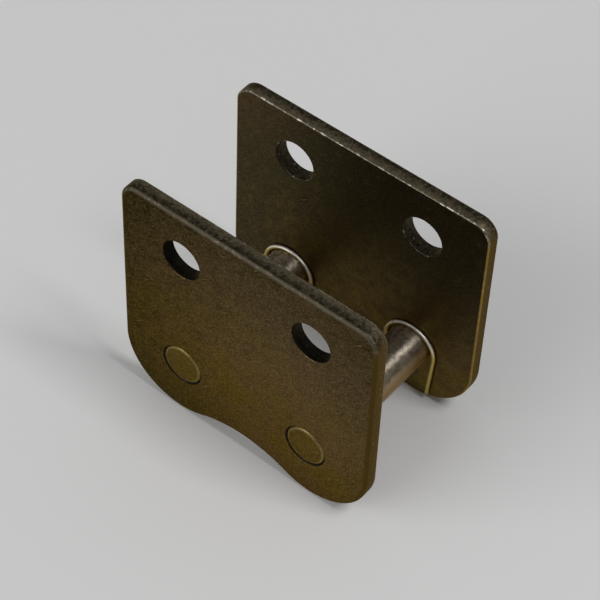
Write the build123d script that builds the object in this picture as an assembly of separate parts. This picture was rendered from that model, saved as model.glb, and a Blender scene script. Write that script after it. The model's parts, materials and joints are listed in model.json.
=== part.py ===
from build123d import *
import math
import os

# Outer link of a 19.05 mm pitch roller chain with raised attachment plates.
# Two flat plates stand face to face on their rounded lobes. Two round pins
# join them, and each plate rises above the pins as a wing with two bolt holes.
# A wire clip hangs over each pin, against the inner face of the far plate.
#
# X runs along the chain, Y along the pins from the near plate to the far
# plate, and Z up towards the wings. The origin is midway between the pins and
# midway between the plates, level with the bottoms of the lobes.

# Chain
pitch = 19.05
pin_radius = 2.86
plate_thickness = 2.0
plate_gap = 18.9

# Plate outline
lobe_radius = 8.4
lobe_outboard = 0.65
waist_rise = 2.3
wing_height = 26.2
wing_corner_radius = 2.4
outer_edge_rounding = 0.45
inner_edge_rounding = 0.2

# Bolt holes in the wings
bolt_hole_radius = 2.75
bolt_spacing = 19.05
bolt_height = 19.05
bolt_hole_rounding = 0.2

# Pins
far_pin_clearance = 0.04
pin_end_rounding = 0.4
pin_hole_chamfer = 0.15

# Wire clips
wire_radius = 0.26
clip_bend_radius = 3.65
clip_above_pin = 0.01
clip_leg_drop = 7.3
clip_leg_spread = 3.2
clip_to_plate = 0.05
wire_end_chamfer = 0.08

# Levels worked out from the sizes above
pin_z = lobe_radius
bolt_z = pin_z + bolt_height
wing_top_z = pin_z + wing_height
lobe_x = pitch / 2 + lobe_outboard
half_length = lobe_x + lobe_radius
inner_face_y = plate_gap / 2
outer_face_y = inner_face_y + plate_thickness
clip_y = inner_face_y - clip_to_plate - wire_radius
clip_bend_drop = clip_bend_radius - wire_radius - clip_above_pin - pin_radius


def point_on(center, radius, degrees):
    """A point on a circle in the X-Z plane, at an angle from +X towards +Z."""
    angle = math.radians(degrees)
    return (center[0] + radius * math.cos(angle), center[1] + radius * math.sin(angle))


def arc_between(center, radius, start_degrees, end_degrees):
    """The arc of a circle between two angles, as start, middle and end points."""
    middle_degrees = (start_degrees + end_degrees) / 2
    return [
        point_on(center, radius, start_degrees),
        point_on(center, radius, middle_degrees),
        point_on(center, radius, end_degrees),
    ]


def plate_outline():
    """The plate's outline: two lobes below, a hollow waist, and a square wing."""
    waist_fall = pin_z - waist_rise
    waist_radius = (lobe_x**2 + waist_fall**2 - lobe_radius**2) / (2 * (lobe_radius - waist_fall))
    waist_center = (0, waist_rise - waist_radius)
    right_lobe = (lobe_x, pin_z)
    left_lobe = (-lobe_x, pin_z)
    rise = pin_z - waist_center[1]
    tangent_degrees = math.degrees(math.atan2(rise, lobe_x))
    corner_x = half_length - wing_corner_radius
    corner_z = wing_top_z - wing_corner_radius
    right_corner = (corner_x, corner_z)
    left_corner = (-corner_x, corner_z)

    waist = arc_between(waist_center, waist_radius, 180 - tangent_degrees, tangent_degrees)
    right_curve = arc_between(right_lobe, lobe_radius, tangent_degrees - 180, 0)
    top_right = arc_between(right_corner, wing_corner_radius, 0, 90)
    top_left = arc_between(left_corner, wing_corner_radius, 90, 180)
    left_curve = arc_between(left_lobe, lobe_radius, 180, 360 - tangent_degrees)

    with BuildSketch(Plane.XZ) as outline:
        with BuildLine():
            ThreePointArc(*waist)
            ThreePointArc(*right_curve)
            Line(right_curve[2], top_right[0])
            ThreePointArc(*top_right)
            Line(top_right[2], top_left[0])
            ThreePointArc(*top_left)
            Line(top_left[2], left_curve[0])
            ThreePointArc(*left_curve)
        make_face()
    return outline.sketch


def cross_cylinder(radius, x, y_start, y_end, z):
    """A round bar along Y."""
    middle_y = (y_start + y_end) / 2
    bar = Cylinder(radius, abs(y_end - y_start))
    return Pos(x, middle_y, z) * (Rot(90, 0, 0) * bar)


def plate(outward, pin_hole_radius):
    """One plate. Outward is -1 for the near plate and 1 for the far one.

    The outline is punched from the outer side, so its edge is well rounded
    there and crisper on the inner side. The pin holes are broken on the outer
    side only.
    """
    inner_y = outward * inner_face_y
    outer_y = outward * outer_face_y
    center_y = (inner_y + outer_y) / 2
    body = Pos(0, center_y, 0) * extrude(plate_outline(), plate_thickness / 2, both=True)
    inside_out = Axis((0, 0, 0), (0, outward, 0))
    body = fillet(body.edges().group_by(inside_out)[-1], outer_edge_rounding)
    body = fillet(body.edges().group_by(inside_out)[0], inner_edge_rounding)
    for side in (-1, 1):
        bolt_x = side * bolt_spacing / 2
        body = body - cross_cylinder(bolt_hole_radius, bolt_x, inner_y, outer_y, bolt_z)
    rims = body.edges().filter_by(GeomType.CIRCLE)
    rims = [rim for rim in rims if abs(rim.radius - bolt_hole_radius) < bolt_hole_rounding]
    body = fillet(rims, bolt_hole_rounding)
    for side in (-1, 1):
        pin_x = side * pitch / 2
        body = body - cross_cylinder(pin_hole_radius, pin_x, inner_y, outer_y, pin_z)
    rims = body.edges().group_by(inside_out)[-1].filter_by(GeomType.CIRCLE)
    rims = [rim for rim in rims if abs(rim.radius - pin_hole_radius) < far_pin_clearance]
    body = chamfer(rims, pin_hole_chamfer)
    return body


def pin(x):
    """One pin, rounded at both ends."""
    bar = cross_cylinder(pin_radius, x, -outer_face_y, outer_face_y, pin_z)
    return fillet(bar.edges().filter_by(GeomType.CIRCLE), pin_end_rounding)


def wire_clip(x):
    """One clip: round wire bent over the pin, its two legs closing in below."""
    bend_center = (0, -clip_bend_drop)
    leg_length_z = clip_leg_drop - clip_bend_drop
    lean_degrees = math.degrees(math.atan2(clip_bend_radius - clip_leg_spread, leg_length_z))
    bend = arc_between(bend_center, clip_bend_radius, -lean_degrees, 180 + lean_degrees)
    right_foot = (clip_leg_spread, -clip_leg_drop)
    left_foot = (-clip_leg_spread, -clip_leg_drop)
    with BuildLine(Plane.XZ) as centreline:
        Line(right_foot, bend[0])
        ThreePointArc(*bend)
        Line(bend[2], left_foot)
    path = centreline.wire()
    section = Plane(origin=path @ 0, z_dir=path % 0) * Circle(wire_radius)
    wire = sweep(section, path=path)
    feet = wire.faces().filter_by(GeomType.PLANE).edges()
    wire = chamfer(feet, wire_end_chamfer)
    return Pos(x, clip_y, pin_z) * wire


near_plate = plate(-1, pin_radius)
far_plate = plate(1, pin_radius + far_pin_clearance)
left_pin = pin(-pitch / 2)
right_pin = pin(pitch / 2)
left_pin_clip = wire_clip(-pitch / 2)
right_pin_clip = wire_clip(pitch / 2)

os.makedirs("parts", exist_ok=True)
export_step(near_plate, "parts/near_plate.step")
export_step(far_plate, "parts/far_plate.step")
export_step(left_pin, "parts/left_pin.step")
export_step(right_pin, "parts/right_pin.step")
export_step(left_pin_clip, "parts/left_pin_clip.step")
export_step(right_pin_clip, "parts/right_pin_clip.step")
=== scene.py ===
"""Looks for an outer link of a roller chain with raised attachment plates.

Two browned steel plates stand face to face, joined by two ground pins. A wire
clip hangs over each pin. Every length here is in millimetres until it reaches
Blender, which works in metres. X runs along the chain, Y along the pins from
the near plate to the far plate, and Z up.
"""

import json
import logging
import math
from collections.abc import Callable, Iterator
from contextlib import contextmanager
from dataclasses import dataclass, replace
from enum import Enum

import bmesh
import bpy
from bpy.types import Material, NodeSocket, NodeTree, Object
from mathutils import Matrix, Vector

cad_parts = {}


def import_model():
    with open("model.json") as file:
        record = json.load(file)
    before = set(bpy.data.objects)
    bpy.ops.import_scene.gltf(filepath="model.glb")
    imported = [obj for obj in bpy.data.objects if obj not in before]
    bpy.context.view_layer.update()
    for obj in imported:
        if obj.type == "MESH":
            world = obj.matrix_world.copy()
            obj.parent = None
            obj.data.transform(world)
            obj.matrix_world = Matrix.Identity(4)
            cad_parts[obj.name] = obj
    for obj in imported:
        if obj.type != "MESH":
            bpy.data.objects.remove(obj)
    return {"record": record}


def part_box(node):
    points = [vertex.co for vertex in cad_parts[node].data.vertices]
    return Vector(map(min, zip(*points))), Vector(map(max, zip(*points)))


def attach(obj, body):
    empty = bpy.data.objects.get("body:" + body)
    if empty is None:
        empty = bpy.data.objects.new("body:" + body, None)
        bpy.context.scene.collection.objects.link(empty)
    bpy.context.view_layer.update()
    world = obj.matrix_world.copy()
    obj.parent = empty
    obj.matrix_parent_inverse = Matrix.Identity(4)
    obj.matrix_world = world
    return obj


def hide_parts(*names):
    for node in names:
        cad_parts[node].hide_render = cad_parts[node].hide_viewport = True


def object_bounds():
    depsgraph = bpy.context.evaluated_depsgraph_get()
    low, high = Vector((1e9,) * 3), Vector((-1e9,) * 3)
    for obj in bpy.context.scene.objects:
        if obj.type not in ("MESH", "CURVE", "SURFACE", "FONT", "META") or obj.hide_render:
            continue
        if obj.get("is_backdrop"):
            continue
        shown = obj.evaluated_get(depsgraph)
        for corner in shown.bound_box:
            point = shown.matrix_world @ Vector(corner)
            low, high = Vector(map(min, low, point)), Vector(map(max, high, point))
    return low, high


LOG = logging.getLogger("attachment_link")
MM = 0.001

# How near two places are, in millimetres, to count as one place, as one level
# along Y, and as one point of a finished mesh
CLOSE = 0.02
LEVEL = 0.002
WELD = 0.0005

# The share of a face's normal along Y from which the face looks straight out
STRAIGHT_OUT = 0.999

# White, and what a browned and oiled skin leaves of light that glances off it
WHITE = "ffffff"
BROWN_GLANCE = "e1d7bc"

# Kinds of shader node. The mix node mixes colours: it takes its share as input
# 0 and its two colours as inputs 6 and 7, and gives output 2.
COORDINATES = "ShaderNodeTexCoord"
NOISE = "ShaderNodeTexNoise"
RANGE = "ShaderNodeMapRange"
MATH = "ShaderNodeMath"
MIX = "ShaderNodeMix"
SPLIT = "ShaderNodeSeparateXYZ"
VECTOR_MATH = "ShaderNodeVectorMath"
MAPPING = "ShaderNodeMapping"
SURFACE = "ShaderNodeNewGeometry"
BUMP = "ShaderNodeBump"
PRINCIPLED = "ShaderNodeBsdfPrincipled"
OUTPUT = "ShaderNodeOutputMaterial"
COLOURS = {"data_type": "RGBA"}
MIXED = 2
ADD = {"operation": "ADD", "use_clamp": True}
MULTIPLY = {"operation": "MULTIPLY"}
MULTIPLY_ADD = {"operation": "MULTIPLY_ADD"}
DISTANCE = {"operation": "DISTANCE"}


# Choices


class Outward(Enum):
    """The way a plate's outer face looks along Y."""

    NEAR = -1
    FAR = 1


class Side(Enum):
    """The end of the link along X that a piece belongs to."""

    LEFT = -1
    RIGHT = 1


class PlateSkin(Enum):
    """The material slots of a plate, in order."""

    FACE = 0
    SHEARED_RIM = 1
    ROLLED_EDGE = 2
    RUBBED_EDGE = 3
    HOLE_WALL = 4
    HOLE_RIM = 5


class PinSkin(Enum):
    """The material slots of a pin, in order."""

    SHANK = 0
    HEAD = 1
    RIM = 2


# Helpers for modelling


def in_metres(x: float, y: float, z: float) -> Vector:
    """A point given in millimetres, in metres."""
    return Vector((x, y, z)) * MM


def select_only(obj: Object) -> None:
    """Selects one object, makes it active and leaves all others unselected."""
    bpy.ops.object.select_all(action="DESELECT")
    obj.select_set(True)
    bpy.context.view_layer.objects.active = obj


@contextmanager
def editing(obj: Object) -> Iterator[None]:
    """Opens an object in edit mode with nothing selected, and closes it again.

    Args:
        obj: The mesh object to shape.
    """
    select_only(obj)
    bpy.ops.object.mode_set(mode="EDIT")
    bpy.ops.mesh.select_mode(type="VERT")
    bpy.ops.mesh.select_all(action="DESELECT")
    try:
        yield
    finally:
        bpy.ops.object.mode_set(mode="OBJECT")


def pick(obj: Object, kind: str, test: Callable[..., bool]) -> None:
    """Selects the vertices, edges or faces that pass a test, and nothing else.

    Args:
        obj: The object in edit mode.
        kind: "VERT", "EDGE" or "FACE".
        test: Says of one vertex, edge or face whether it is picked.
    """
    bpy.ops.mesh.select_mode(type=kind)
    bpy.ops.mesh.select_all(action="DESELECT")
    shape = bmesh.from_edit_mesh(obj.data)
    parts = {"VERT": shape.verts, "EDGE": shape.edges, "FACE": shape.faces}[kind]
    for part in [part for part in parts if test(part)]:
        part.select_set(True)
    bmesh.update_edit_mesh(obj.data)


def bevel_edges(width: float, steps: int) -> None:
    """Bevels the selected edges."""
    bpy.ops.mesh.bevel(affect="EDGES", offset=width * MM, segments=steps)


def break_edges(obj: Object, test: Callable[..., bool], width: float, steps: int) -> None:
    """Bevels the edges of an object that pass a test."""
    with editing(obj):
        pick(obj, "EDGE", test)
        bevel_edges(width, steps)


def apply_modifiers(obj: Object) -> None:
    """Applies every modifier of an object, in order."""
    select_only(obj)
    for name in [modifier.name for modifier in obj.modifiers]:
        bpy.ops.object.modifier_apply(modifier=name)


def settle(obj: Object, smooth_angle: float) -> None:
    """Finishes a mesh: origin at the frame's, normals outwards, smooth shading.

    Args:
        obj: The piece.
        smooth_angle: Faces that meet at less than this many degrees shade as one.
    """
    select_only(obj)
    bpy.ops.object.transform_apply(location=True, rotation=True, scale=True)
    with editing(obj):
        bpy.ops.mesh.select_all(action="SELECT")
        bpy.ops.mesh.remove_doubles(threshold=WELD * MM)
        bpy.ops.mesh.normals_make_consistent(inside=False)
    select_only(obj)
    bpy.ops.object.shade_smooth_by_angle(angle=math.radians(smooth_angle))
    weigh = obj.modifiers.new("even_flats", "WEIGHTED_NORMAL")
    weigh.keep_sharp = True
    weigh.weight = 100
    apply_modifiers(obj)


def cut_away(obj: Object, cutter: Object) -> None:
    """Cuts one solid out of another and throws the cutter away."""
    cut = obj.modifiers.new("cut", "BOOLEAN")
    cut.operation = "DIFFERENCE"
    cut.solver = "EXACT"
    cut.object = cutter
    apply_modifiers(obj)
    bpy.data.objects.remove(cutter)


def bar_along_y(radius: float, x: float, z: float, span: tuple[float, float], sides: int) -> Object:
    """Adds a round bar along Y.

    Args:
        radius: The bar's radius.
        x: The bar's axis along X.
        z: The bar's axis along Z.
        span: Where the bar starts and ends along Y.
        sides: How many faces go round it.

    Returns:
        The new object, active and selected.
    """
    bpy.ops.object.select_all(action="DESELECT")
    bpy.ops.mesh.primitive_cylinder_add(
        vertices=sides,
        radius=radius * MM,
        depth=(span[1] - span[0]) * MM,
        end_fill_type="NGON",
        location=in_metres(x, (span[0] + span[1]) / 2, z),
        rotation=(math.radians(90), 0, 0),
    )
    bar = bpy.context.object
    bpy.ops.object.transform_apply(location=True, rotation=True, scale=True)
    return bar


# Helpers for finishes


def linear(code: str) -> tuple[float, float, float, float]:
    """An sRGB hex colour as linear red, green, blue and alpha.

    Args:
        code: Six hex digits, such as "4a3c22".

    Returns:
        The colour that Blender's shaders take.
    """
    shares = [int(code[i : i + 2], 16) / 255 for i in (0, 2, 4)]
    flat = [s / 12.92 if s <= 0.04045 else ((s + 0.055) / 1.055) ** 2.4 for s in shares]
    return (flat[0], flat[1], flat[2], 1.0)


def per_metre(spacing_mm: float) -> float:
    """The texture scale that repeats a pattern about once per given millimetres."""
    return 1.0 / (spacing_mm * MM)


def add_node(
    tree: NodeTree, kind: str, settings: dict | None = None, out: int | str = 0, **links: object
) -> NodeSocket | None:
    """Adds a shader node with its settings and what its inputs hold.

    Args:
        tree: The node tree to add to.
        kind: The node's type, such as "ShaderNodeTexNoise".
        settings: The node's own properties.
        out: The output that is wanted, by name or place.
        links: Input name, with spaces as underscores, to a socket, a value or
            a hex colour. in0, in1 and so on name an input by its place.

    Returns:
        The output that is wanted, or None where the node has none.
    """
    node = tree.nodes.new(kind)
    for name, value in (settings or {}).items():
        setattr(node, name, value)
    for name, value in links.items():
        by_place = name.startswith("in") and name[2:].isdigit()
        socket = node.inputs[int(name[2:]) if by_place else name.replace("_", " ")]
        if isinstance(value, NodeSocket):
            tree.links.new(value, socket)
        else:
            socket.default_value = linear(value) if isinstance(value, str) else value
    return node.outputs[out] if node.outputs else None


@dataclass(frozen=True)
class Pattern:
    """A cloudy pattern.

    Attributes:
        size_mm: About how far apart its largest clouds are.
        detail: How many finer layers it has.
        roughness: How strong the finer layers are.
    """

    size_mm: float
    detail: float = 2.0
    roughness: float = 0.5

    def inputs(self) -> dict[str, float]:
        """What the pattern's node holds."""
        return {"Scale": per_metre(self.size_mm), "Detail": self.detail, "Roughness": self.roughness}


@dataclass(frozen=True)
class Step:
    """A soft step that turns a pattern, a height or a distance into a share.

    Attributes:
        start: Where the step begins.
        end: Where it is done. It may be below the start.
        before: The share up to the start.
        after: The share from the end on.
    """

    start: float
    end: float
    before: float = 0.0
    after: float = 1.0

    def inputs(self, unit: float = 1.0) -> dict[str, float]:
        """What the step's node holds, with the start and end in the given unit."""
        return {"in1": self.start * unit, "in2": self.end * unit, "in3": self.before, "in4": self.after}


@dataclass(frozen=True)
class Finish:
    """What every finish has: its name, its relief, and what its film lets through.

    Attributes:
        name: The material's name.
        metallic: How much of the surface is metal.
        relief_mm: How deep the relief is.
        relief_strength: How much of that depth shows.
        glance: The tint of a glancing reflection, where an oxide or oil film
            swallows blue light.
    """

    name: str = "steel"
    metallic: float = 1.0
    relief_mm: float = 0.02
    relief_strength: float = 0.6
    glance: str = WHITE

    def begin(self) -> tuple[Material, NodeTree, NodeSocket]:
        """Starts the material.

        Returns:
            The material, its empty node tree, and the place on the object.
        """
        material = bpy.data.materials.new(self.name)
        material.use_nodes = True
        material.node_tree.nodes.clear()
        return material, material.node_tree, add_node(material.node_tree, COORDINATES, out="Object")

    def coat(
        self, tree: NodeTree, colour: object, roughness: object, height: NodeSocket, **more: object
    ) -> None:
        """Ends the material with its relief and its surface.

        Args:
            tree: The material's node tree.
            colour: The surface's colour.
            roughness: The surface's roughness.
            height: The pattern that the relief follows.
            more: Further inputs of the surface.
        """
        depth = self.relief_mm * MM
        relief = add_node(tree, BUMP, Height=height, Strength=self.relief_strength, Distance=depth)
        surface = add_node(
            tree,
            PRINCIPLED,
            Base_Color=colour,
            Metallic=self.metallic,
            Roughness=roughness,
            Normal=relief,
            Specular_Tint=self.glance,
            **more,
        )
        add_node(tree, OUTPUT, Surface=surface)


@dataclass(frozen=True)
class BrownedSteel(Finish):
    """Pressed mild steel, tumbled, hot browned and dipped in oil.

    The oxide skin is thin and uneven, so it wanders from olive to red brown.
    It is painted paler where a sheen of reflected light falls, and darker away
    from there, as painted shade. The lower part is golden and the upper part
    greyer, a painted reflection, warm from the floor below and cooler above.
    Under the oil the metal keeps a soft sheen, and tumbling leaves a fine grain
    of pits and bright specks, with short scuffs here and there. The grain is
    drawn about twice as coarse as the real one, so that it shows. A bloom of
    rust may stand in one corner.

    Attributes:
        sheen_at: Where the painted sheen is brightest, as X and Z in millimetres.
        sheen_fade: How the painted sheen gives way to painted shade with the
            distance from there.
        blotching: How strongly the blotches break that shading up.
        greying: How the skin turns grey with height, a painted reflection that
        is warm below and cooler above.
        grey_lean: How much of that height is gained per length along X.
        rust_at: Where the rust blooms, as X and Z in millimetres.
        rust_bloom: How the rust grows towards there.
        scuff_mm: How long and how wide a scuff is.
        scuff_lean: How far the scuffs lean from level, in degrees.
    """

    name: str = "browned_oiled_steel"
    relief_mm: float = 0.03
    glance: str = BROWN_GLANCE
    olive: str = "634f1d"
    umber: str = "654c2a"
    ash: str = "635240"
    dark: str = "1b160b"
    speck: str = "a08c5c"
    rust: str = "634633"
    patches: Pattern = Pattern(4.5, 4.0, 0.6)
    blotches: Pattern = Pattern(1.1, 3.0, 0.6)
    grain: Pattern = Pattern(0.2, 2.0, 0.7)
    browning: Step = Step(0.4, 0.6)
    sheen_at: tuple[float, float] = (6.0, 11.0)
    sheen_fade: Step = Step(7.0, 33.0)
    blotching: float = 0.9
    greying: Step = Step(10.0, 30.0, after=0.85)
    grey_lean: float = 0.35
    pits: Step = Step(0.5, 0.2, after=0.85)
    specks: Step = Step(0.5, 0.9, after=0.6)
    rust_at: tuple[float, float] = (-16.0, 33.0)
    rust_bloom: Step = Step(6.5, 0.0, after=0.0)
    rust_grain: Pattern = Pattern(0.4, 3.0, 0.7)
    rust_spots: Step = Step(0.42, 0.58)
    scuff_mm: tuple[float, float] = (2.5, 0.14)
    scuff_lean: float = 35.0
    scuffs: Step = Step(0.6, 0.68, after=0.6)
    scuffed_patches: Step = Step(0.52, 0.62)
    gloss: Step = Step(0.3, 0.7, 0.34, 0.5)

    def make(self) -> Material:
        """Builds the material."""
        material, tree, place = self.begin()
        patches = add_node(tree, NOISE, Vector=place, **self.patches.inputs())
        blotches = add_node(tree, NOISE, Vector=place, **self.blotches.inputs())
        grain = add_node(tree, NOISE, Vector=place, **self.grain.inputs())

        brown = add_node(tree, RANGE, in0=patches, **self.browning.inputs())
        hue = add_node(tree, MIX, COLOURS, MIXED, in0=brown, in6=self.olive, in7=self.umber)
        # Painted reflection: gold low down, greyer higher up and to the right.
        slope = (self.grey_lean, 0, 1)
        height = add_node(tree, VECTOR_MATH, {"operation": "DOT_PRODUCT"}, "Value", in0=place, in1=slope)
        grey = add_node(tree, RANGE, in0=height, **self.greying.inputs(MM))
        toned = add_node(tree, MIX, COLOURS, MIXED, in0=grey, in6=hue, in7=self.ash)

        # Painted sheen and shade: paler round one point and darker away from it, standing in for
        # reflected light.
        flat = add_node(tree, MAPPING, Vector=place, Scale=(1, 0, 1))
        sheen_centre = in_metres(self.sheen_at[0], 0, self.sheen_at[1])
        away = add_node(tree, VECTOR_MATH, DISTANCE, "Value", in0=flat, in1=sheen_centre)
        dimmed = add_node(tree, RANGE, in0=away, **self.sheen_fade.inputs(MM))
        share, even = self.blotching, -self.blotching / 2
        broken = add_node(tree, MATH, MULTIPLY_ADD, in0=blotches, in1=share, in2=even)
        shade = add_node(tree, MATH, ADD, in0=dimmed, in1=broken)
        shaded = add_node(tree, MIX, COLOURS, MIXED, in0=shade, in6=toned, in7=self.dark)
        pits = add_node(tree, RANGE, in0=grain, **self.pits.inputs())
        pitted = add_node(tree, MIX, COLOURS, MIXED, in0=pits, in6=shaded, in7=self.dark)
        specks = add_node(tree, RANGE, in0=grain, **self.specks.inputs())
        specked = add_node(tree, MIX, COLOURS, MIXED, in0=specks, in6=pitted, in7=self.speck)

        corner = in_metres(self.rust_at[0], 0, self.rust_at[1])
        apart = add_node(tree, VECTOR_MATH, DISTANCE, "Value", in0=flat, in1=corner)
        bloom = add_node(tree, RANGE, in0=apart, **self.rust_bloom.inputs(MM))
        powder = add_node(tree, NOISE, Vector=place, **self.rust_grain.inputs())
        spots = add_node(tree, RANGE, in0=powder, **self.rust_spots.inputs())
        rusty = add_node(tree, MATH, MULTIPLY, in0=bloom, in1=spots)
        rusted = add_node(tree, MIX, COLOURS, MIXED, in0=rusty, in6=specked, in7=self.rust)

        lean = (0, math.radians(self.scuff_lean), 0)
        turned = add_node(tree, MAPPING, Vector=place, Rotation=lean)
        drawn = (per_metre(self.scuff_mm[0]), 1.0, per_metre(self.scuff_mm[1]))
        strokes = add_node(tree, MAPPING, Vector=turned, Scale=drawn)
        streaks = add_node(tree, NOISE, Vector=strokes, Scale=1.0)
        scored = add_node(tree, RANGE, in0=streaks, **self.scuffs.inputs())
        patchy = add_node(tree, RANGE, in0=blotches, **self.scuffed_patches.inputs())
        scuffs = add_node(tree, MATH, MULTIPLY, in0=scored, in1=patchy)
        scuffed = add_node(tree, MIX, COLOURS, MIXED, in0=scuffs, in6=rusted, in7=self.speck)

        rough = add_node(tree, RANGE, in0=blotches, **self.gloss.inputs())
        self.coat(tree, scuffed, rough, grain)
        return material


@dataclass(frozen=True)
class ShearedSteel(Finish):
    """The punched rim of the plate, browned after the die has cut it.

    The outer part of the cut is burnished by the die and stays dark. Towards
    the inner face the steel has torn, so it is coarse, paler and granular,
    and high grains are rubbed bare in the tumbler and glint. Below the top
    the rim turns golden, a painted warm reflection of the floor.

    Attributes:
        tearing: How torn the cut is, by the distance from the link's middle.
        raggedness: How strongly the tear's own grain breaks that up.
        floor_reflection: How the painted warm floor reflection takes over below
        the top.
    """

    name: str = "sheared_browned_steel"
    metallic: float = 0.9
    relief_mm: float = 0.06
    glance: str = BROWN_GLANCE
    burnished: str = "2f2a1e"
    torn: str = "7d725c"
    floor_gold: str = "574013"
    bare: str = "bdb39c"
    tear: Pattern = Pattern(0.4, 4.0, 0.7)
    grain: Pattern = Pattern(0.26)
    tearing: Step = Step(9.45, 10.85, 0.85, 0.1)
    raggedness: float = 2.4
    floor_reflection: Step = Step(34.2, 32.2, after=0.85)
    bare_grains: Step = Step(0.67, 0.75, after=0.6)
    gloss: Step = Step(0.0, 1.0, 0.52, 0.45)

    def make(self) -> Material:
        """Builds the material."""
        material, tree, place = self.begin()
        tear = add_node(tree, NOISE, Vector=place, **self.tear.inputs())
        grain = add_node(tree, NOISE, Vector=place, **self.grain.inputs())

        across = add_node(tree, SPLIT, out="Y", Vector=place)
        out = add_node(tree, MATH, {"operation": "ABSOLUTE"}, in0=across)
        inside = add_node(tree, RANGE, in0=out, **self.tearing.inputs(MM))
        share, even = self.raggedness, -self.raggedness / 2
        ragged = add_node(tree, MATH, MULTIPLY_ADD, in0=tear, in1=share, in2=even)
        torn = add_node(tree, MATH, ADD, in0=inside, in1=ragged)
        tone = add_node(tree, MIX, COLOURS, MIXED, in0=torn, in6=self.burnished, in7=self.torn)
        # Painted reflection: below the top the rim turns gold, warm from the floor.
        height = add_node(tree, SPLIT, out="Z", Vector=place)
        below = add_node(tree, RANGE, in0=height, **self.floor_reflection.inputs(MM))
        floor_gold = add_node(tree, MIX, COLOURS, MIXED, in0=below, in6=tone, in7=self.floor_gold)
        high = add_node(tree, RANGE, in0=grain, **self.bare_grains.inputs())
        rubbed = add_node(tree, MIX, COLOURS, MIXED, in0=high, in6=floor_gold, in7=self.bare)
        rough = add_node(tree, RANGE, in0=high, **self.gloss.inputs())
        self.coat(tree, rubbed, rough, tear)
        return material


@dataclass(frozen=True)
class RubbedEdge(Finish):
    """A browned corner with its skin rubbed thin, showing pale steel in places.

    On the level edge at the top it is rubbed almost to bare steel, partly real
    wear and partly a painted highlight where the top catches the light. Below,
    it turns a soft gold, a painted warm reflection of the floor.

    Attributes:
        floor_reflection: How the painted warm floor reflection takes over below
            the top.
        bare_kept_off_below: How much of the bare steel is kept off below the top,
            so that the pale, partly painted highlight stays on the top edge.
    """

    name: str = "rubbed_browned_edge"
    metallic: float = 0.9
    relief_mm: float = 0.015
    glance: str = BROWN_GLANCE
    worn: str = "665e50"
    floor_gold: str = "8d7030"
    bare: str = "d3ccbd"
    wear: Pattern = Pattern(0.7, 5.0, 0.7)
    bare_patches: Step = Step(0.5, 0.6, after=0.8)
    floor_reflection: Step = Step(33.6, 31.6)
    bare_kept_off_below: float = 0.85
    roughness: float = 0.36

    def make(self) -> Material:
        """Builds the material."""
        material, tree, place = self.begin()
        wear = add_node(tree, NOISE, Vector=place, **self.wear.inputs())
        # Painted reflection and highlight: gold below the top from the warm floor, pale bare steel kept
        # to the top edge.
        height = add_node(tree, SPLIT, out="Z", Vector=place)
        below = add_node(tree, RANGE, in0=height, **self.floor_reflection.inputs(MM))
        tone = add_node(tree, MIX, COLOURS, MIXED, in0=below, in6=self.worn, in7=self.floor_gold)
        high = add_node(tree, RANGE, in0=wear, **self.bare_patches.inputs())
        open_share = add_node(tree, MATH, MULTIPLY_ADD, in0=below, in1=-self.bare_kept_off_below, in2=1.0)
        share = add_node(tree, MATH, MULTIPLY, in0=high, in1=open_share)
        rubbed = add_node(tree, MIX, COLOURS, MIXED, in0=share, in6=tone, in7=self.bare)
        self.coat(tree, rubbed, self.roughness, wear)
        return material


@dataclass(frozen=True)
class HoleWall(Finish):
    """The wall of a punched hole: torn, and coloured nearly black.

    A few bare grains glint in the dark.
    """

    name: str = "black_hole_wall"
    metallic: float = 0.8
    relief_mm: float = 0.05
    glance: str = BROWN_GLANCE
    hollow: str = "0e0c09"
    skin: str = "242019"
    bare: str = "c9c3b6"
    grain: Pattern = Pattern(0.3, 4.0, 0.6)
    raised: Step = Step(0.35, 0.65)
    bare_grains: Step = Step(0.74, 0.8)
    roughness: float = 0.5

    def make(self) -> Material:
        """Builds the material."""
        material, tree, place = self.begin()
        grain = add_node(tree, NOISE, Vector=place, **self.grain.inputs())
        raised = add_node(tree, RANGE, in0=grain, **self.raised.inputs())
        tone = add_node(tree, MIX, COLOURS, MIXED, in0=raised, in6=self.hollow, in7=self.skin)
        high = add_node(tree, RANGE, in0=grain, **self.bare_grains.inputs())
        rubbed = add_node(tree, MIX, COLOURS, MIXED, in0=high, in6=tone, in7=self.bare)
        self.coat(tree, rubbed, self.roughness, grain)
        return material


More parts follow.
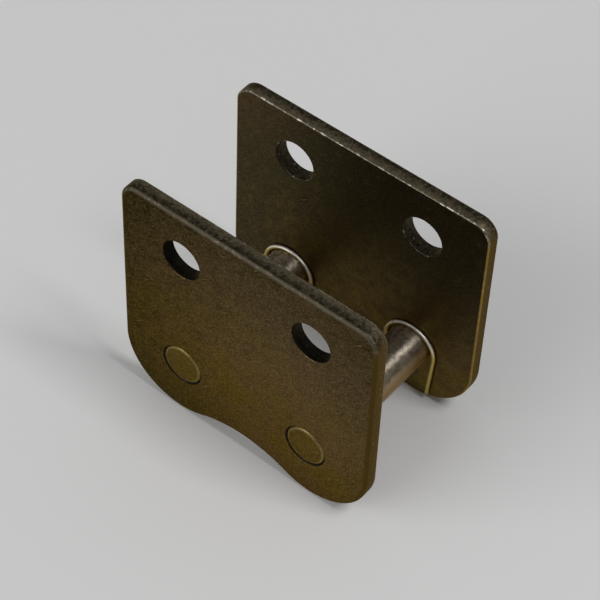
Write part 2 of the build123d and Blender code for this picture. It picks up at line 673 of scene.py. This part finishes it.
@dataclass(frozen=True)
class GroundSteel(Finish):
    """Case-hardened pin steel, ground round on centres and polished.

    The grinding lines run round the pin, so the gloss is drawn out along its
    length. The lines are drawn several times coarser than the real ones, which
    would be too fine to show. Oil smears the polish. Faces that turn down take
    a pale gold, a painted warm reflection of the floor.

    Attributes:
        line_mm: How far apart the grinding lines are.
        line_length_mm: How far a line runs before it changes.
        floor_reflection: How the painted floor reflection takes over as the
        surface turns down.
        stretch: How far the gloss is drawn out.
        stretch_turn: Which way it is drawn out, as a share of a turn.
    """

    name: str = "ground_pin_steel"
    relief_mm: float = 0.004
    relief_strength: float = 0.5
    steel: str = "b9b0a2"
    shade: str = "847a6b"
    floor_tint: str = "977944"
    line_mm: float = 0.1
    line_length_mm: float = 4.0
    smears: Pattern = Pattern(0.7, 4.0, 0.65)
    brightening: Step = Step(0.35, 0.62)
    floor_reflection: Step = Step(0.9, 0.1)
    gloss: Step = Step(0.3, 0.7, 0.35, 0.44)
    stretch: float = 0.72
    stretch_turn: float = 0.25

    def make(self) -> Material:
        """Builds the material."""
        material, tree, place = self.begin()
        length = per_metre(self.line_length_mm)
        drawn = (length, per_metre(self.line_mm), length)
        rings = add_node(tree, MAPPING, Vector=place, Scale=drawn)
        lines = add_node(tree, NOISE, Vector=rings, Scale=1.0)
        smears = add_node(tree, NOISE, Vector=place, **self.smears.inputs())
        bright = add_node(tree, RANGE, in0=smears, **self.brightening.inputs())
        tone = add_node(tree, MIX, COLOURS, MIXED, in0=bright, in6=self.shade, in7=self.steel)
        # Painted reflection: faces that turn down take a warm floor colour.
        facing = add_node(tree, SURFACE, out="Normal")
        upward = add_node(tree, SPLIT, out="Z", Vector=facing)
        under = add_node(tree, RANGE, in0=upward, **self.floor_reflection.inputs())
        floor_gold = add_node(tree, MIX, COLOURS, MIXED, in0=under, in6=tone, in7=self.floor_tint)
        rough = add_node(tree, RANGE, in0=smears, **self.gloss.inputs())
        round_y = add_node(tree, "ShaderNodeTangent", {"direction_type": "RADIAL", "axis": "Y"})
        self.coat(
            tree,
            floor_gold,
            rough,
            lines,
            Anisotropic=self.stretch,
            Anisotropic_Rotation=self.stretch_turn,
            Tangent=round_y,
        )
        return material


@dataclass(frozen=True)
class DrawnWire(Finish):
    """Hard-drawn spring wire, pale on top, turning gold underneath: a painted warm reflection of the
    floor.
    """

    name: str = "bright_spring_wire"
    relief_mm: float = 0.006
    relief_strength: float = 0.5
    steel: str = "f4f0e6"
    floor_tint: str = "c8ad60"
    smears: Pattern = Pattern(0.8, 3.0, 0.6)
    floor_reflection: Step = Step(0.5, 0.1)
    gloss: Step = Step(0.3, 0.7, 0.36, 0.5)

    def make(self) -> Material:
        """Builds the material."""
        material, tree, place = self.begin()
        smears = add_node(tree, NOISE, Vector=place, **self.smears.inputs())
        # Painted reflection: faces that turn down take a warm floor colour.
        facing = add_node(tree, SURFACE, out="Normal")
        upward = add_node(tree, SPLIT, out="Z", Vector=facing)
        under = add_node(tree, RANGE, in0=upward, **self.floor_reflection.inputs())
        floor_gold = add_node(tree, MIX, COLOURS, MIXED, in0=under, in6=self.steel, in7=self.floor_tint)
        rough = add_node(tree, RANGE, in0=smears, **self.gloss.inputs())
        self.coat(tree, floor_gold, rough, smears)
        return material


@dataclass(frozen=True)
class PaleBoard(Finish):
    """Matt painted board for the floor, faintly uneven from the roller."""

    name: str = "pale_board"
    metallic: float = 0.0
    relief_strength: float = 0.05
    paint: str = "e6e6e6"
    nap: Pattern = Pattern(1.5)
    roughness: float = 0.9

    def make(self) -> Material:
        """Builds the material."""
        material, tree, place = self.begin()
        nap = add_node(tree, NOISE, Vector=place, **self.nap.inputs())
        self.coat(tree, self.paint, self.roughness, nap)
        return material


@dataclass(frozen=True)
class Finishes:
    """One material of each kind, shared by all the pieces."""

    near_skin: Material
    far_skin: Material
    head: Material
    head_rim: Material
    sheared: Material
    rolled: Material
    rubbed: Material
    near_hole: Material
    far_hole: Material
    hole_rim: Material
    ground: Material
    wire: Material

    @classmethod
    def make(cls) -> "Finishes":
        """Builds every finish once."""
        # The pin heads carry a faint painted sheen too, centred on the link's middle.
        head = BrownedSteel(
            name="browned_pin_head",
            relief_mm=0.01,
            olive="614f1f",
            umber="654f22",
            ash="614f1f",
            sheen_at=(0.0, 8.4),
            sheen_fade=Step(16.0, 60.0),
        )
        return cls(
            near_skin=BrownedSteel().make(),
            # The far face's copy is lighter, with its painted sheen low and to the right, standing in
            # for light that the far face lacks.
            far_skin=BrownedSteel(
                name="dark_browned_oiled_steel",
                olive="75632c",
                umber="6d5632",
                ash="50483a",
                dark="3c3629",
                speck="8f8058",
                sheen_at=(9.0, 8.0),
                sheen_fade=Step(2.0, 26.0),
                rust_bloom=Step(6.5, 0.0, after=0.6),
            ).make(),
            head=head.make(),
            head_rim=replace(
                head, name="rubbed_pin_rim", olive="857447", umber="82704a", ash="857447"
            ).make(),
            sheared=ShearedSteel().make(),
            rolled=RubbedEdge(
                name="rolled_browned_edge",
                worn="564f41",
                floor_gold="4e3c14",
                bare="a39a86",
                bare_patches=Step(0.55, 0.65, after=0.35),
                roughness=0.55,
            ).make(),
            rubbed=RubbedEdge().make(),
            near_hole=HoleWall().make(),
            far_hole=HoleWall(
                name="grainy_hole_wall", hollow="1b1812", skin="4b4334", bare_grains=Step(0.68, 0.74)
            ).make(),
            hole_rim=RubbedEdge(
                name="nicked_hole_rim",
                worn="3f3829",
                floor_gold="3f3829",
                bare_patches=Step(0.56, 0.66, after=0.8),
                bare_kept_off_below=0.1,
            ).make(),
            ground=GroundSteel().make(),
            wire=DrawnWire().make(),
        )


# The object's pieces


@dataclass
class AttachmentPlate:
    """One plate: two lobes and a waist below, a wing with two bolt holes above.

    Attributes:
        corner_steps: Segments in a rounded corner. The other steps and the
            sides count segments too.
        cutter_overrun: How far a hole's cutter stands out on either side.
        outline_weld: How near two points of the outline are to be one.
        hole_rim_reach: How far round a bolt hole its broken edge may reach.
        wall_tilt: A bolt hole's wall has less than this of its normal along Y.
        chamfer_tilt: The same for a pin hole's wall and chamfer.
        rim_tilt: The same for the cut rim, between its two rounded edges.
    """

    name: str
    node: str
    body: str
    outward: Outward
    inner_y: float
    outer_y: float
    half_length: float
    top_z: float
    pin_x: float
    pin_z: float
    pin_hole_radius: float
    bolt_x: float
    bolt_z: float
    bolt_hole_radius: float
    lobe_radius: float = 8.4
    waist_rise: float = 2.3
    corner_radius: float = 2.4
    outer_rounding: float = 0.45
    inner_rounding: float = 0.2
    hole_rounding: float = 0.2
    pin_hole_chamfer: float = 0.15
    corner_steps: int = 12
    lobe_steps: int = 48
    waist_steps: int = 32
    outer_steps: int = 6
    inner_steps: int = 4
    hole_steps: int = 4
    hole_sides: int = 96
    cutter_overrun: float = 1.0
    outline_weld: float = 0.001
    hole_rim_reach: float = 1.0
    wall_tilt: float = 0.5
    chamfer_tilt: float = 0.9
    rim_tilt: float = 0.3
    smooth_angle: float = 40.0
    piece: Object | None = None

    @property
    def lobe_x(self) -> float:
        """How far each lobe's centre stands from the middle."""
        return self.half_length - self.lobe_radius

    @property
    def waist_radius(self) -> float:
        """The radius of the hollow that runs smoothly into both lobes."""
        fall = self.pin_z - self.waist_rise
        return (self.lobe_x**2 + fall**2 - self.lobe_radius**2) / (2 * (self.lobe_radius - fall))

    def trace_outline(self) -> None:
        """Draws the plate's outline as a closed loop on its inner plane.

        A rectangle gives the wing. Its upper corners are rounded, its lower
        side is taken away, and the lobes and the waist are swept in its place.
        """
        bpy.ops.object.select_all(action="DESELECT")
        middle_z = (self.pin_z + self.top_z) / 2
        bpy.ops.mesh.primitive_plane_add(
            size=1, location=in_metres(0, self.inner_y, middle_z), rotation=(math.radians(90), 0, 0)
        )
        self.piece = bpy.context.object
        self.piece.name = self.name
        self.piece.scale = (2 * self.half_length * MM, (self.top_z - self.pin_z) * MM, 1)
        bpy.ops.object.transform_apply(location=True, rotation=True, scale=True)
        waist_z = self.waist_rise - self.waist_radius
        lean = math.atan2(self.pin_z - waist_z, self.lobe_x)
        with editing(self.piece):
            pick(self.piece, "VERT", lambda v: v.co.z > middle_z * MM)
            bpy.ops.mesh.bevel(
                affect="VERTICES", offset=self.corner_radius * MM, segments=self.corner_steps
            )
            pick(self.piece, "FACE", lambda f: True)
            bpy.ops.mesh.delete(type="ONLY_FACE")
            pick(self.piece, "EDGE", lambda e: all(v.co.z < middle_z * MM for v in e.verts))
            bpy.ops.mesh.delete(type="EDGE")
            pick(self.piece, "VERT", lambda v: v.co.x > 0 and v.co.z < middle_z * MM)
            self.sweep(self.lobe_x, self.pin_z, lean - math.pi, self.lobe_steps)
            self.sweep(0, waist_z, math.pi - 2 * lean, self.waist_steps)
            self.sweep(-self.lobe_x, self.pin_z, lean - math.pi, self.lobe_steps)
            bpy.ops.mesh.select_all(action="SELECT")
            bpy.ops.mesh.remove_doubles(threshold=self.outline_weld * MM)
            bpy.ops.mesh.edge_face_add()

    def sweep(self, x: float, z: float, angle: float, steps: int) -> None:
        """Sweeps the selected point round a centre; the angle counts from +X towards +Z."""
        bpy.ops.mesh.spin(
            steps=steps, angle=angle, center=in_metres(x, self.inner_y, z), axis=(0, 1, 0), dupli=False
        )

    def thicken(self) -> None:
        """Extrudes the outline to the plate's thickness."""
        depth = (self.outer_y - self.inner_y) * MM
        with editing(self.piece):
            bpy.ops.mesh.select_all(action="SELECT")
            bpy.ops.mesh.extrude_region_move(TRANSFORM_OT_translate={"value": (0, depth, 0)})
            bpy.ops.mesh.select_all(action="SELECT")
            bpy.ops.mesh.normals_make_consistent(inside=False)

    def round_rim(self, y: float, radius: float, steps: int) -> None:
        """Rounds the outline's edge on one side of the plate."""
        level = lambda edge: all(abs(v.co.y / MM - y) < LEVEL for v in edge.verts)
        break_edges(self.piece, level, radius, steps)

    def drill(self) -> None:
        """Cuts the bolt holes and the pin holes, and breaks their edges."""
        self.bore(self.bolt_hole_radius, self.bolt_x, self.bolt_z)
        break_edges(self.piece, self.is_bolt_rim, self.hole_rounding, self.hole_steps)
        self.bore(self.pin_hole_radius, self.pin_x, self.pin_z)
        break_edges(self.piece, self.is_outer_pin_rim, self.pin_hole_chamfer, 1)

    def bore(self, radius: float, x: float, z: float) -> None:
        """Cuts a round hole through the plate on each side of its middle."""
        low, high = sorted((self.inner_y, self.outer_y))
        span = (low - self.cutter_overrun, high + self.cutter_overrun)
        for side in Side:
            cut_away(self.piece, bar_along_y(radius, side.value * x, z, span, self.hole_sides))

    def from_bolt_hole(self, point: Vector) -> float:
        """The distance of a point from the nearer bolt hole's axis."""
        return math.hypot(abs(point.x / MM) - self.bolt_x, point.z / MM - self.bolt_z)

    def from_pin_hole(self, point: Vector) -> float:
        """The distance of a point from the nearer pin hole's axis."""
        return math.hypot(abs(point.x / MM) - self.pin_x, point.z / MM - self.pin_z)

    def is_bolt_rim(self, edge: bmesh.types.BMEdge) -> bool:
        """Whether an edge is part of a bolt hole's rim on either face."""
        level = abs(edge.verts[0].co.y - edge.verts[1].co.y) < LEVEL * MM
        out = [abs(self.from_bolt_hole(v.co) - self.bolt_hole_radius) for v in edge.verts]
        return level and max(out) < CLOSE

    def is_outer_pin_rim(self, edge: bmesh.types.BMEdge) -> bool:
        """Whether an edge is part of a pin hole's rim on the outer face."""
        outside = all(abs(v.co.y / MM - self.outer_y) < LEVEL for v in edge.verts)
        out = [abs(self.from_pin_hole(v.co) - self.pin_hole_radius) for v in edge.verts]
        return outside and max(out) < CLOSE

    def skin_of(self, center: Vector, normal: Vector) -> PlateSkin:
        """The finish that a face of the plate takes.

        Args:
            center: The face's centre, in metres.
            normal: The face's normal.

        Returns:
            The plate's slot for that face.
        """
        tilt = abs(normal.y)
        from_bolt, from_pin = self.from_bolt_hole(center), self.from_pin_hole(center)
        if from_bolt < self.bolt_hole_radius + CLOSE and tilt < self.wall_tilt:
            return PlateSkin.HOLE_WALL
        if from_pin < self.pin_hole_radius + self.pin_hole_chamfer and tilt < self.chamfer_tilt:
            return PlateSkin.HOLE_WALL
        inner_side = abs(center.y / MM - self.inner_y) < self.inner_rounding
        at_hole = from_bolt < self.bolt_hole_radius + self.hole_rim_reach
        if tilt > STRAIGHT_OUT or (at_hole and not inner_side):
            return PlateSkin.FACE
        if inner_side:
            return PlateSkin.HOLE_RIM if at_hole else PlateSkin.RUBBED_EDGE
        return PlateSkin.SHEARED_RIM if tilt < self.rim_tilt else PlateSkin.ROLLED_EDGE

    def dress(self, finishes: Finishes) -> None:
        """Gives each face of the plate its finish."""
        near = self.outward is Outward.NEAR
        skin = finishes.near_skin if near else finishes.far_skin
        hole = finishes.near_hole if near else finishes.far_hole
        slots = (skin, finishes.sheared, finishes.rolled, finishes.rubbed, hole, finishes.hole_rim)
        for material in slots:
            self.piece.data.materials.append(material)
        for face in self.piece.data.polygons:
            face.material_index = self.skin_of(face.center, face.normal).value

    def build(self, finishes: Finishes) -> Object:
        """Models the plate, dresses it and hangs it on its body.

        Args:
            finishes: The shared materials.

        Returns:
            The finished piece.
        """
        self.trace_outline()
        self.thicken()
        self.round_rim(self.outer_y, self.outer_rounding, self.outer_steps)
        self.round_rim(self.inner_y, self.inner_rounding, self.inner_steps)
        self.drill()
        settle(self.piece, self.smooth_angle)
        self.dress(finishes)
        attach(self.piece, self.body)
        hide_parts(self.node)
        return self.piece


@dataclass
class ChainPin:
    """One pin: a ground shank with browned, rounded ends."""

    name: str
    node: str
    body: str
    x: float
    z: float
    radius: float
    near_end: float
    far_end: float
    end_rounding: float = 0.4
    end_steps: int = 5
    sides: int = 96
    smooth_angle: float = 35.0
    piece: Object | None = None

    def turn_shank(self) -> None:
        """Makes the bar and rounds both its ends."""
        ends = (self.near_end, self.far_end)
        self.piece = bar_along_y(self.radius, self.x, self.z, ends, self.sides)
        self.piece.name = self.name
        break_edges(self.piece, self.is_end_rim, self.end_rounding, self.end_steps)

    def is_end_rim(self, edge: bmesh.types.BMEdge) -> bool:
        """Whether an edge goes round one of the bar's ends."""
        ends = (self.near_end, self.far_end)
        return any(all(abs(v.co.y / MM - y) < CLOSE for v in edge.verts) for y in ends)

    def dress(self, finishes: Finishes) -> None:
        """Leaves the shank bright, browns both ends and rubs their rims paler."""
        for material in (finishes.ground, finishes.head, finishes.head_rim):
            self.piece.data.materials.append(material)
        for face in self.piece.data.polygons:
            y = face.center.y / MM
            if min(y - self.near_end, self.far_end - y) > self.end_rounding:
                skin = PinSkin.SHANK
            else:
                skin = PinSkin.HEAD if abs(face.normal.y) > STRAIGHT_OUT else PinSkin.RIM
            face.material_index = skin.value

    def build(self, finishes: Finishes) -> Object:
        """Models the pin, dresses it and hangs it on its body.

        Args:
            finishes: The shared materials.

        Returns:
            The finished piece.
        """
        self.turn_shank()
        settle(self.piece, self.smooth_angle)
        self.dress(finishes)
        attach(self.piece, self.body)
        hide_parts(self.node)
        return self.piece


@dataclass
class WireClip:
    """One clip: round wire bent over the pin, with two legs that close in below.

    Attributes:
        bend_drop: How far the bend's centre is below the pin's axis.
        foot_drop: How far each leg's end is below the pin's axis.
        foot_spread: How far each leg's end stands to the side.
        wire_weld: How near two points of the wire are to be one.
    """

    name: str
    node: str
    body: str
    x: float
    y: float
    pin_z: float
    wire_radius: float = 0.26
    bend_radius: float = 3.65
    bend_drop: float = 0.52
    foot_drop: float = 7.3
    foot_spread: float = 3.2
    foot_rounding: float = 0.08
    foot_steps: int = 2
    wire_sides: int = 24
    bend_steps: int = 48
    wire_weld: float = 0.002
    smooth_angle: float = 50.0
    piece: Object | None = None

    def bend_wire(self) -> None:
        """Draws the wire up one leg, over the bend and down the other leg."""
        bend_z = self.pin_z - self.bend_drop
        lean = math.atan2(self.bend_radius - self.foot_spread, self.foot_drop - self.bend_drop)
        out, down = self.bend_radius * math.cos(lean), self.bend_radius * math.sin(lean)
        right_foot = in_metres(self.x + self.foot_spread, self.y, self.pin_z - self.foot_drop)
        left_foot = in_metres(self.x - self.foot_spread, self.y, self.pin_z - self.foot_drop)
        right_shoulder = in_metres(self.x + out, self.y, bend_z - down)
        left_shoulder = in_metres(self.x - out, self.y, bend_z - down)
        bpy.ops.object.select_all(action="DESELECT")
        bpy.ops.mesh.primitive_circle_add(
            vertices=self.wire_sides,
            radius=self.wire_radius * MM,
            fill_type="NGON",
            location=right_foot,
            rotation=(0, lean, 0),
        )
        self.piece = bpy.context.object
        self.piece.name = self.name
        bpy.ops.object.transform_apply(location=True, rotation=True, scale=True)
        with editing(self.piece):
            bpy.ops.mesh.select_all(action="SELECT")
            self.draw_to(right_shoulder - right_foot)
            bpy.ops.mesh.spin(
                steps=self.bend_steps,
                angle=math.pi + 2 * lean,
                center=in_metres(self.x, self.y, bend_z),
                axis=(0, 1, 0),
            )
            self.draw_to(left_foot - left_shoulder)
            bpy.ops.mesh.select_all(action="SELECT")
            bpy.ops.mesh.remove_doubles(threshold=self.wire_weld * MM)
            bpy.ops.mesh.normals_make_consistent(inside=False)
            pick(self.piece, "FACE", lambda f: len(f.verts) == self.wire_sides)
            bevel_edges(self.foot_rounding, self.foot_steps)

    def draw_to(self, run: Vector) -> None:
        """Extrudes the selected section along a straight run."""
        bpy.ops.mesh.extrude_region_move(TRANSFORM_OT_translate={"value": run})

    def build(self, finishes: Finishes) -> Object:
        """Models the clip, dresses it and hangs it on its body.

        Args:
            finishes: The shared materials.

        Returns:
            The finished piece.
        """
        self.bend_wire()
        settle(self.piece, self.smooth_angle)
        self.piece.data.materials.append(finishes.wire)
        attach(self.piece, self.body)
        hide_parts(self.node)
        return self.piece


# The whole link


@dataclass
class ChainLink:
    """The whole link, with what its pieces share."""

    finishes: Finishes
    mounts: list[dict]
    far_plate_clearance: float = 0.04

    def plate(self, outward: Outward) -> AttachmentPlate:
        """Works out one plate from the frame's boxes and its bolt mount."""
        near = outward is Outward.NEAR
        word = outward.name.lower()
        node = f"{word}_plate"
        low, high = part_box(node)
        pin_low, pin_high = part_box("right_pin")
        pin_radius = (pin_high[2] - pin_low[2]) / MM / 2
        mount = next(mount for mount in self.mounts if mount["name"] == f"{word}_bolts")
        return AttachmentPlate(
            name=f"{word}_wing_plate",
            node=node,
            body="near_plate_and_pins" if near else "far_plate",
            outward=outward,
            inner_y=(high[1] if near else low[1]) / MM,
            outer_y=(low[1] if near else high[1]) / MM,
            half_length=high[0] / MM,
            top_z=high[2] / MM,
            pin_x=(pin_low[0] + pin_high[0]) / MM / 2,
            pin_z=(pin_low[2] + pin_high[2]) / MM / 2,
            pin_hole_radius=pin_radius + (0.0 if near else self.far_plate_clearance),
            bolt_x=mount["dims"]["spacing_x_mm"] / 2,
            bolt_z=mount["pos_m"][2] / MM,
            bolt_hole_radius=mount["dims"]["hole_r_mm"],
        )

    def pin_and_clip(self, side: Side) -> tuple[ChainPin, WireClip]:
        """Works out one pin and its clip from the frame's boxes."""
        word = side.name.lower()
        low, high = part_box(f"{word}_pin")
        clip_low, clip_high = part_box(f"{word}_pin_clip")
        x = (low[0] + high[0]) / MM / 2
        z = (low[2] + high[2]) / MM / 2
        pin = ChainPin(
            name=f"{word}_ground_pin",
            node=f"{word}_pin",
            body="near_plate_and_pins",
            x=x,
            z=z,
            radius=(high[2] - low[2]) / MM / 2,
            near_end=low[1] / MM,
            far_end=high[1] / MM,
        )
        clip = WireClip(
            name=f"{word}_wire_clip",
            node=f"{word}_pin_clip",
            body=f"{word}_clip",
            x=x,
            y=(clip_low[1] + clip_high[1]) / MM / 2,
            pin_z=z,
        )
        return pin, clip

    def build(self) -> None:
        """Builds every piece in order and reports it."""
        parts = [self.plate(outward) for outward in Outward]
        for side in Side:
            parts += self.pin_and_clip(side)
        for part in parts:
            piece = part.build(self.finishes)
            LOG.info("%s: %d faces, on %s", piece.name, len(piece.data.polygons), part.body)


@dataclass(frozen=True)
class SoftPanel:
    """A square light panel, by its place, its side and its power."""

    name: str
    place: tuple[float, float, float]
    size: float
    watts: float


@dataclass
class Studio:
    """The floor, the lights and the camera.

    Attributes:
        azimuth: How far round the link the camera stands, in degrees.
        elevation: How far above level it stands, in degrees.
        roll: How far it is turned about its own view, in degrees.
        distance: How far it stands from the point it aims at.
        sensor: The width of its sensor.
        view: The nearest and the furthest distance that it sees.
    """

    azimuth: float = 36.655
    elevation: float = 49.441
    roll: float = 2.682
    distance: float = 279.0
    aim: tuple[float, float, float] = (-3.145, 3.262, 12.201)
    lens: float = 137.05
    sensor: float = 36.0
    view: tuple[float, float] = (10.0, 20000.0)
    floor_size: float = 4000.0
    floor_drop: float = 0.02
    sky_strength: float = 0.257
    panels: tuple[SoftPanel, ...] = (
        SoftPanel("key_panel", (750, 75, 1300), 480, 8.1),
        SoftPanel("window_panel", (-525, -1200, 750), 1200, 9.0),
    )

    def lay_floor(self) -> None:
        """Lays a wide pale board just under the link."""
        bpy.ops.object.select_all(action="DESELECT")
        place = in_metres(0, 0, -self.floor_drop)
        bpy.ops.mesh.primitive_plane_add(size=self.floor_size * MM, location=place)
        floor = bpy.context.object
        floor.name = "studio_floor"
        floor.data.materials.append(PaleBoard().make())
        floor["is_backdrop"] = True

    def light_sky(self) -> None:
        """Surrounds the scene with even white light."""
        world = bpy.data.worlds.new("studio_sky")
        world.use_nodes = True
        tree = world.node_tree
        tree.nodes.clear()
        glow = add_node(tree, "ShaderNodeBackground", Color=WHITE, Strength=self.sky_strength)
        add_node(tree, "ShaderNodeOutputWorld", Surface=glow)
        bpy.context.scene.world = world

    def hang_panel(self, panel: SoftPanel) -> None:
        """Hangs a light panel so that it looks where the camera aims."""
        lamp = bpy.data.lights.new(panel.name, "AREA")
        lamp.shape = "SQUARE"
        lamp.size = panel.size * MM
        lamp.energy = panel.watts
        hung = bpy.data.objects.new(panel.name, lamp)
        bpy.context.collection.objects.link(hung)
        hung.location = in_metres(*panel.place)
        hung.rotation_mode = "QUATERNION"
        hung.rotation_quaternion = (in_metres(*self.aim) - hung.location).to_track_quat("-Z", "Y")

    def place_camera(self) -> None:
        """Stands the camera at its angle and distance from the point it aims at."""
        a, e, r = (math.radians(v) for v in (self.azimuth, self.elevation, self.roll))
        back = Vector((math.sin(a) * math.cos(e), -math.cos(a) * math.cos(e), math.sin(e)))
        level = Vector((math.cos(a), math.sin(a), 0))
        upright = back.cross(level)
        right = math.cos(r) * level + math.sin(r) * upright
        up = back.cross(right)
        lens = bpy.data.cameras.new("camera")
        lens.lens = self.lens
        lens.sensor_width = self.sensor
        lens.clip_start, lens.clip_end = (reach * MM for reach in self.view)
        camera = bpy.data.objects.new("camera", lens)
        bpy.context.collection.objects.link(camera)
        turn = Matrix((right, up, back)).transposed().to_4x4()
        place = in_metres(*self.aim) + back * self.distance * MM
        camera.matrix_world = Matrix.Translation(place) @ turn
        bpy.context.scene.camera = camera

    def build(self) -> None:
        """Sets up the whole studio."""
        self.lay_floor()
        self.light_sky()
        for panel in self.panels:
            self.hang_panel(panel)
        self.place_camera()
        bpy.context.scene.view_settings.view_transform = "Standard"


def main(frame: dict, frame_box: tuple[Vector, Vector]) -> None:
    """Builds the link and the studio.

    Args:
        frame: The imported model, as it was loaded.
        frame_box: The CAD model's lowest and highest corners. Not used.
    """
    ChainLink(Finishes.make(), frame["record"]["mounts"]).build()
    Studio().build()
    bpy.context.view_layer.update()


if __name__ == "__main__":
    logging.basicConfig(level=logging.INFO, format="%(name)s: %(message)s")
    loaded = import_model()
    main(loaded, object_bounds())
